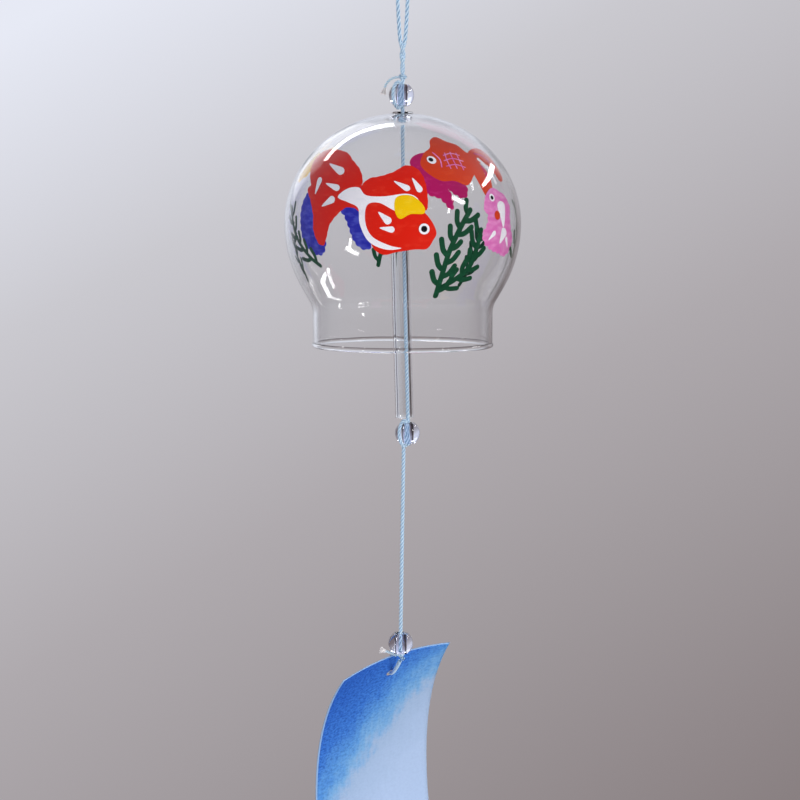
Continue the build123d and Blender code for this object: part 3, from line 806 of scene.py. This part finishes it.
# Turns a line into plies wound round it, and notes how far out from the line each point lies.
def makePlyTree():
    tree = bpy.data.node_groups.new("twistedPlies", "GeometryNodeTree")
    tree.is_modifier = True
    add = partial(addNode, tree)
    sockets = {"Geometry": "Geometry", "Plies": "Int", "Lay": "Float", "Ply Radius": "Float",
               "Offset": "Float", "Step": "Float", "Sides": "Int", "Material": "Material"}
    for name, kind in sockets.items():
        tree.interface.new_socket(name, in_out="INPUT", socket_type=f"NodeSocket{kind}")
    tree.interface.new_socket("Geometry", in_out="OUTPUT", socket_type="NodeSocketGeometry")
    given = add("NodeGroupInput").outputs
    place = add("GeometryNodeInputPosition")
    line = add("GeometryNodeMeshToCurve", {"Mesh": given["Geometry"]})
    even = add("GeometryNodeResampleCurve", {"Curve": line, "Length": given["Step"]}, mode="LENGTH")
    axis = add("GeometryNodeStoreNamedAttribute",
               {"Geometry": even, "Name": "axis", "Value": place}, data_type="FLOAT_VECTOR")
    copies = add("GeometryNodeDuplicateElements", {"Geometry": axis, "Amount": given["Plies"]},
                 domain="SPLINE").outputs
    # the angle of a ply at each point: whole turns so far, and the ply's own share of one
    along = add("GeometryNodeSplineParameter").outputs["Length"]
    turns = add("ShaderNodeMath", {0: along, 1: given["Lay"]}, operation="DIVIDE")
    share = add("ShaderNodeMath", {0: copies["Duplicate Index"], 1: given["Plies"]},
                operation="DIVIDE")
    both = add("ShaderNodeMath", {0: turns, 1: share}, operation="ADD")
    angle = add("ShaderNodeMath", {0: both, 1: 2 * math.pi}, operation="MULTIPLY")
    # out from the line at that angle
    normal = add("GeometryNodeInputNormal")
    across = add("ShaderNodeVectorMath", {0: add("GeometryNodeInputTangent"), 1: normal},
                 operation="CROSS_PRODUCT")
    ways = []
    for way, wave in ((normal, "COSINE"), (across, "SINE")):
        much = add("ShaderNodeMath", {0: angle}, operation=wave)
        ways.append(add("ShaderNodeVectorMath", {0: way, "Scale": much}, operation="SCALE"))
    ray = add("ShaderNodeVectorMath", {0: ways[0], 1: ways[1]}, operation="ADD")
    shift = add("ShaderNodeVectorMath", {0: ray, "Scale": given["Offset"]}, operation="SCALE")
    wound = add("GeometryNodeSetPosition", {"Geometry": copies["Geometry"], "Offset": shift})
    ring = add("GeometryNodeCurvePrimitiveCircle",
               {"Resolution": given["Sides"], "Radius": given["Ply Radius"]})
    tube = add("GeometryNodeCurveToMesh",
               {"Curve": wound, "Profile Curve": ring, "Fill Caps": True})
    middle = add("GeometryNodeInputNamedAttribute", {"Name": "axis"}, data_type="FLOAT_VECTOR")
    away = add("ShaderNodeVectorMath", {0: place, 1: middle}, operation="DISTANCE")
    whole = add("ShaderNodeMath", {0: given["Offset"], 1: given["Ply Radius"]}, operation="ADD")
    proud = add("ShaderNodeMath", {0: away, 1: whole}, operation="DIVIDE")
    noted = add("GeometryNodeStoreNamedAttribute",
                {"Geometry": tube, "Name": "proud", "Value": proud})
    soft = add("GeometryNodeSetShadeSmooth", {"Geometry": noted})
    real = add("GeometryNodeRealizeInstances", {"Geometry": soft})
    dressed = add("GeometryNodeSetMaterial", {"Geometry": real, "Material": given["Material"]})
    add("NodeGroupOutput", {"Geometry": dressed})
    return tree


cordYarn = makeCordMaterial("dyedCottonCord", "#6488AC", "#A4C6E4", "#D2E8F8")
looseYarn = makeCordMaterial("loosenedCottonCord", "#86AECB", "#BCDCF0", "#E4F3FB")
fibreYarn = makeCordMaterial("openedCottonFibre", "#E4EAF6", "#F6F7FC", "#FFFBFA", sheen=0.3)
plyTree = makePlyTree()


# A NURBS curve through a route's control points, in millimetres, read back as plain points.
def routePoints(name, route):
    curve = bpy.data.curves.new(name, "CURVE")
    curve.dimensions = "3D"
    spline = curve.splines.new("NURBS")
    spline.points.add(len(route) - 1)
    for point, place in zip(spline.points, route):
        point.co = (*(Vector(place) * mm), 1)
    spline.order_u = 3
    spline.use_endpoint_u = True
    spline.resolution_u = 24
    holder = addObject(name, curve)
    mesh = bpy.data.meshes.new_from_object(holder)
    points = [v.co.copy() for v in mesh.vertices]
    bpy.data.objects.remove(holder)
    bpy.data.meshes.remove(mesh)
    return points


# Plies laid along one or more lines of points, as one plain mesh in place of a body's nodes.
def layCord(name, lines, body, *nodes, width=sizes["cord"], lay=laid["lay"],
            plies=laid["plies"], sides=laid["sides"], material=cordYarn):
    # plies that touch each other and fill the width
    offShare = 1 / math.sin(math.pi / plies) if plies > 1 else 0
    plyRadius = width / 2 / (1 + offShare)
    points, edges = [], []
    for line in lines:
        edges += [(len(points) + i, len(points) + i + 1) for i in range(len(line) - 1)]
        points += [tuple(p) for p in line]
    mesh = bpy.data.meshes.new(name)
    mesh.from_pydata(points, edges, [])
    holder = addObject(name, mesh)
    modifier = holder.modifiers.new("plies", "NODES")
    modifier.node_group = plyTree
    values = {"Plies": plies, "Lay": lay, "Ply Radius": plyRadius, "Offset": plyRadius * offShare,
              "Step": laid["step"], "Sides": sides, "Material": material}
    for item in plyTree.interface.items_tree:
        if item.name in values:
            modifier[item.identifier] = values[item.name]
    return carry(bakeModifiers(holder), body, "cord", *nodes)


def addCord(name, body, node, route, lay=laid["lay"]):
    points = routePoints(name, route)
    piece = layCord(name, [points], body, node, lay=lay)


addCord("hangingLoop", "hanger", "hanging_loop", [
    (-0.55, 0, -48), (-1.05, 0, -46), (-2, 0, -24), (-2.65, 0, -9), (-2.65, 0, 0.65),
    (2.65, 0, 0.65), (2.65, 0, -9), (2, 0, -24), (1.05, 0, -46), (0.55, 0, -48)],
    lay=5.7 * mm)
addCord("clapperCord", "clapper", "clapper_cord", [
    (0, 0, -73.235), (0, 0, -101.435), (1.938, 0, -174.82)])
addCord("sailCord", "sail_line", "sail_cord", [
    (0.338, 0, -175.37), (-0.177, 0, -208.1), (-0.692, 0, -240.893)])
addCord("paperLoop", "paper", "paper_loop", [
    (-0.865, -0.9, -244.859), (-3.347, 11.368, -252.806), (-5.127, 13.397, -250.276),
    (-2.481, 6.194, -241.809), (0.235, 0.9, -244.678)])

twist = {
    "strand": 1.2 * mm,
    "lay": 3.0 * mm,
    "apart": (0.56 * mm, 0.12 * mm),     # from the axis, at the top and at the knot
    "turn": 8.0 * mm,
    "top": -47.6 * mm,
    "low": -57.5 * mm,
    "steps": 60,
}


# Two strands wound round each other, open where the loop's feet come in and close at the knot.
def makeTwist():
    wide, close = twist["apart"]
    lines = []
    for side in (0, 1):
        points = []
        for i in range(twist["steps"] + 1):
            share = i / twist["steps"]
            down = (twist["top"] - twist["low"]) * share
            out = wide + (close - wide) * share
            angle = 2 * math.pi * down / twist["turn"] + math.pi * side
            points.append(polar(out, angle, twist["top"] - down))
        lines.append(points)
    layCord("twistedStrands", lines, "twist", "twisted_strands", width=twist["strand"],
            lay=twist["lay"])


makeTwist()
layCord("neckCord", [[topKnot, Vector((0, 0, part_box("neck_cord")[0][2]))]], "neck", "neck_cord")

wrap = {
    "width": 1.15 * mm,
    "bearing": 235,          # degrees; where the strand goes round its bead
    # out from the bead's middle and up, in the plane of the strand, in millimetres
    "route": [(0.675, 0), (0.675, 3.85), (2.0, 4.25), (3.75, 2.9), (4.62, 1.05),
              (4.62, -1.05), (3.75, -2.9), (2.0, -4.25), (0.675, -3.85), (0.675, 0)],
}


def makeWrap(name, place, body, node):
    bearing = math.radians(wrap["bearing"])
    points = routePoints(name, [place @ (polar(out, bearing, up) * mm) / mm
                                for out, up in wrap["route"]])
    layCord(name, [points], body, node, width=wrap["width"])


makeWrap("topBeadWrap", topBead, "neck", "top_bead_wrap")
makeWrap("lowerBeadWrap", lowerBead, "clapper", "lower_bead_wrap")

knot = {"lay": 3.2 * mm, "steps": 90}


# A trefoil of cord pulled small: turns that pass over and under each other.
def makeKnot(name, middle, body, node, big, small, width, bearing):
    points = []
    for i in range(knot["steps"] + 1):
        t = 2 * math.pi * i / knot["steps"]
        out, up = big + small * math.cos(3 * t), small * math.sin(3 * t)
        points.append(middle + polar(out, 2 * t + bearing, up) * mm)
    layCord(name, [points], body, node, width=width * mm, lay=knot["lay"])


makeKnot("topKnot", topKnot, "neck", "top_knot", big=0.55, small=0.42, width=1.02, bearing=0.3)
makeKnot("stopKnot", stopKnot, "stop", "stop_knot", big=0.75, small=0.25, width=0.98, bearing=1.1)
makeKnot("sailKnot", sailKnot, "sail", "sail_knot", big=0.5, small=0.42, width=1.02, bearing=2.0)

cutEnd = {
    "width": 0.85 * mm,
    "lay": 3.0 * mm,
    "fibres": 60,
    "fibre": 0.17 * mm,
    "sides": 4,
    "sunk": 0.7 * mm,        # the fibres start this far inside the end
    "out": (0.05, 0.5),      # and this far from its middle, in millimetres
    "flare": 0.7 * mm,
    "spread": (0.15, 1.0),   # shares of the flare and of the tuft's length
    "reach": (0.5, 1.0),
}


# A short cut end whose plies have opened into a tuft of paler fibres.
def makeTail(name, body, node, seed, tuft, route):
    points = routePoints(name, route)
    layCord(name, [points], body, node, width=cutEnd["width"], lay=cutEnd["lay"],
            material=looseYarn)
    end, along = points[-1], (points[-1] - points[-3]).normalized()
    side = along.orthogonal().normalized()
    other = along.cross(side)
    source = random.Random(seed)
    lines = []
    for number in range(cutEnd["fibres"]):
        angle = source.uniform(0, 2 * math.pi)
        out = source.uniform(*cutEnd["out"]) * mm
        away = out + source.uniform(*cutEnd["spread"]) * cutEnd["flare"]
        reach = source.uniform(*cutEnd["reach"]) * tuft
        ray = side * math.cos(angle) + other * math.sin(angle)
        lines.append([end - along * cutEnd["sunk"] + ray * out * 0.9,
                      end + along * reach * 0.45 + ray * (out + away) / 2,
                      end + along * reach + ray * away])
    layCord(f"{name}Fibres", lines, body, width=cutEnd["fibre"], plies=1, sides=cutEnd["sides"],
            material=fibreYarn)


makeTail("topKnotTail", "neck", "top_knot_tail", 3, 1.6 * mm,
         [(-0.9, 0, -58.15), (-5, 0, -58.3), (-5.8, 0, -62.2)])
makeTail("sailKnotTail", "sail", "sail_knot_tail", 8, 1.3 * mm,
         [(-2, 0, -243.3), (-3.865, 3.4, -242.944), (-6.1, 3.8, -242.5)])
print("cords, knots and tails")


# paper strip: washi, dyed in a wash of blue

paper = {
    "width": 42.0,           # millimetres, as are all the lengths here
    "long": 150.0,
    "thick": 0.3,
    "hole": 1.5,
    "holeDown": 10.0,
    "holeSide": 1.3,
    "holePlace": (-3.5, 12.3, -9.0),     # from the sail knot
    "curl": 80.0,
    "lean": (49.5, 5.5),     # degrees, at the top edge and at the end of the curl
    "yaw": (33.0, 22.0),
    "roll": (10.5, 7.5),
    "bow": (2.5, 0.4),
    "bowLong": 30.0,
    "step": 1.5,
}
washi = {
    "streaks": (7.0, 0.9, 1.0),
    "margin": 1.7,           # centimetres left pale above the wash, at the right edge
    "curve": 1.25,
    "fall": 6.0,             # how much lower the wash starts at the left edge
    "cloud": 2.6,            # centimetres that the clouds and streaks move it
    "streak": 1.6,
    "depth": (-3.6, 5.4),
    "edges": (0.012, 0.9975),
    "wash": [(0.0, "#3A74D2"), (0.30, "#4886DC"), (0.48, "#64A2E2"), (0.60, "#82B5E3"),
             (0.70, "#A6BEDE"), (1.0, "#B2C8E8")],
    "grain": [(0.36, "#8496C0"), (0.5, "#D4DEF2"), (0.62, "#FFFFFF")],
    "cutEdge": "#9CC0EC",
}


def paperTurn(down):
    share = min(down / paper["curl"], 1)
    lean, yaw, roll = (math.radians(a + (b - a) * share)
                       for a, b in (paper["lean"], paper["yaw"], paper["roll"]))
    return (Matrix.Rotation(yaw, 3, "Z") @ Matrix.Rotation(-roll, 3, "Y")
            @ Matrix.Rotation(lean, 3, "X"))


def paperBow(down):
    share = max(0, 1 - down / paper["bowLong"])
    return paper["bow"][1] + (paper["bow"][0] - paper["bow"][1]) * share ** 2


def paperMiddle(down, steps=40):
    place = Vector((0, 0, 0))
    for number in range(steps):
        place -= paperTurn((number + 0.5) * down / steps).col[2] * down / steps
    return place


# A point of the sheet from its place on the flat strip: across from the middle, down from the top.
def onSheet(across, down):
    turn = paperTurn(down)
    bow = paperBow(down) * (1 - (2 * across / paper["width"]) ** 2)
    return paperMiddle(down) + turn.col[0] * across + turn.col[1] * bow


# Washi: kozo fibres laid any way, matt and a little see-through, brushed with a wash of blue
# that stops at a curved line and leaves the rest pale.
def makeWashi():
    material, add, shader = newMaterial("dyedWashi", Roughness=0.9, Specular_IOR_Level=0.15)
    flat = add("ShaderNodeTexCoord").outputs["UV"]
    parts = add("ShaderNodeSeparateXYZ", {0: flat}).outputs
    wide, long = paper["width"] / 10, paper["long"] / 10        # centimetres
    scaled = add("ShaderNodeMapping", {"Vector": flat, "Scale": (wide, long, 1)})
    streaks = add("ShaderNodeMapping", {"Vector": scaled, "Scale": washi["streaks"]})
    cloud = add("ShaderNodeTexNoise",
                {"Vector": scaled, "Scale": 1.3, "Detail": 6.0, "Roughness": 0.62})
    streak = add("ShaderNodeTexNoise", {"Vector": streaks, "Scale": 1.0, "Detail": 3.0})
    speck = add("ShaderNodeTexNoise",
                {"Vector": scaled, "Scale": 10.0, "Detail": 4.0, "Roughness": 0.7})
    # how far below the curved line where the wash thins out
    rest = add("ShaderNodeMath", {0: 1.0, 1: parts["X"]}, operation="SUBTRACT", use_clamp=True)
    bend = add("ShaderNodeMath", {0: rest, 1: washi["curve"]}, operation="POWER")
    depth = add("ShaderNodeMath", {0: parts["Y"], 1: -long, 2: long - washi["margin"]},
                operation="MULTIPLY_ADD")
    for what, much in ((bend, -washi["fall"]), (cloud, washi["cloud"]), (streak, washi["streak"])):
        depth = add("ShaderNodeMath", {0: what, 1: much, 2: depth}, operation="MULTIPLY_ADD")
    level = add("ShaderNodeMapRange",
                {"Value": depth, "From Min": washi["depth"][0], "From Max": washi["depth"][1]})
    wash = add("ShaderNodeValToRGB", {"Fac": level}, stops=washi["wash"])
    grain = add("ShaderNodeValToRGB", {"Fac": speck}, stops=washi["grain"])
    amount = add("ShaderNodeMapRange",
                 {"Value": level, "From Min": 0.30, "From Max": 0.72, "To Min": 0.85,
                  "To Max": 0.10})
    grained = add("ShaderNodeMix", {0: amount, 6: wash, 7: grain}, data_type="RGBA",
                  blend_type="MULTIPLY")
    # paler along the left and top edges
    left = add("ShaderNodeMath", {0: parts["X"], 1: washi["edges"][0]}, operation="LESS_THAN")
    top = add("ShaderNodeMath", {0: parts["Y"], 1: washi["edges"][1]}, operation="GREATER_THAN")
    cut = add("ShaderNodeMath", {0: left, 1: top}, operation="MAXIMUM")
    edge = add("ShaderNodeMix", {0: cut, 6: grained, 7: linearColour(washi["cutEdge"])},
               data_type="RGBA")
    dress(add, shader, edge, speck, 0.25, 0.1 * mm)
    return material


def makePaper():
    width, long, step, around = paper["width"], paper["long"], paper["step"], paper["hole"]
    columns, rows = round(width / step), round(long / step)
    hole = Vector((paper["holeSide"], paper["holeDown"]))
    flat = [Vector((width * (i / columns - 0.5), long * j / rows))
            for j in range(rows + 1) for i in range(columns + 1)]
    flat = [p for p in flat if (p - hole).length > around + 0.4 * step] + circle(*hole, around, 24)
    flat, _, faces, *_ = delaunay_2d_cdt(flat, [], [], 0, 1e-6)
    faces = [f for f in faces if (middleOfFace(flat, f) - hole).length > around * 0.97]
    shift = sailKnot / mm + Vector(paper["holePlace"]) - onSheet(*hole)
    sheet = addMesh("tanzakuSheet", [(onSheet(*p) + shift) * mm for p in flat], faces, makeWashi())
    layer = sheet.data.uv_layers.new(name="flat")
    for loop in sheet.data.loops:
        place = flat[loop.vertex_index]
        layer.data[loop.index].uv = (place.x / width + 0.5, 1 - place.y / long)
    return sheet


tanzaku = carry(makePaper(), "paper", "washi", "tanzaku")
solid = tanzaku.modifiers.new("thickness", "SOLIDIFY")
solid.thickness = paper["thick"] * mm
solid.offset = -1
print("paper")
